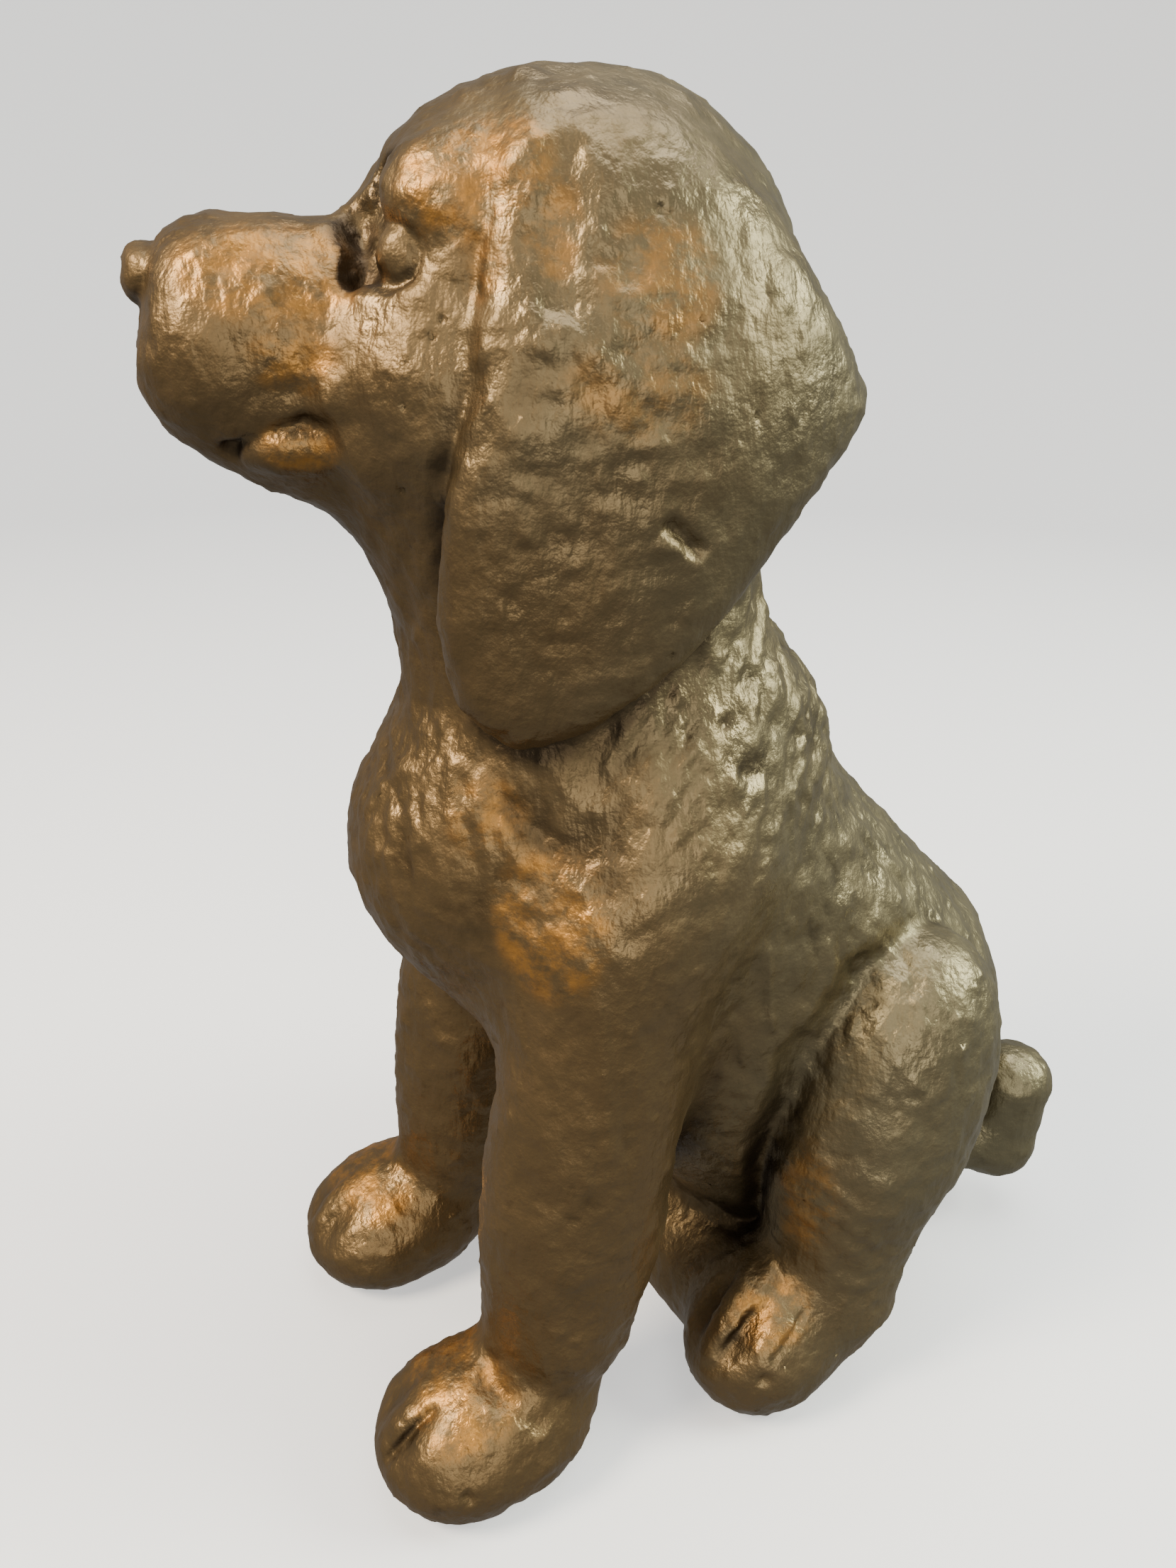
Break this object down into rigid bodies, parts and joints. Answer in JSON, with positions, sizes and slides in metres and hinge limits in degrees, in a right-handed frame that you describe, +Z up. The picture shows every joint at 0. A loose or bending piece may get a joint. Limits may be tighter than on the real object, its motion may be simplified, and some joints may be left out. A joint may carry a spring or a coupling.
{
  "type": "dog statue",
  "caption": "Hollow cast metal statue of a sitting puppy with long hanging ears, painted antique gold, that stands on its own feet and seat beside a door or in a garden.",
  "frame": {"origin": "on the ground, at the middle of the statue's box seen from above", "axes": "+Z up, -Y the way the dog's body faces, +X to the dog's left"},
  "size_m": [0.1941, 0.3525, 0.4594],
  "materials": {
    "bronze_paint": "satin, hand brushed antique gold over dark brown"
  },
  "bodies": {
    "root": {"dog": "bronze_paint"}
  },
  "joints": []
}
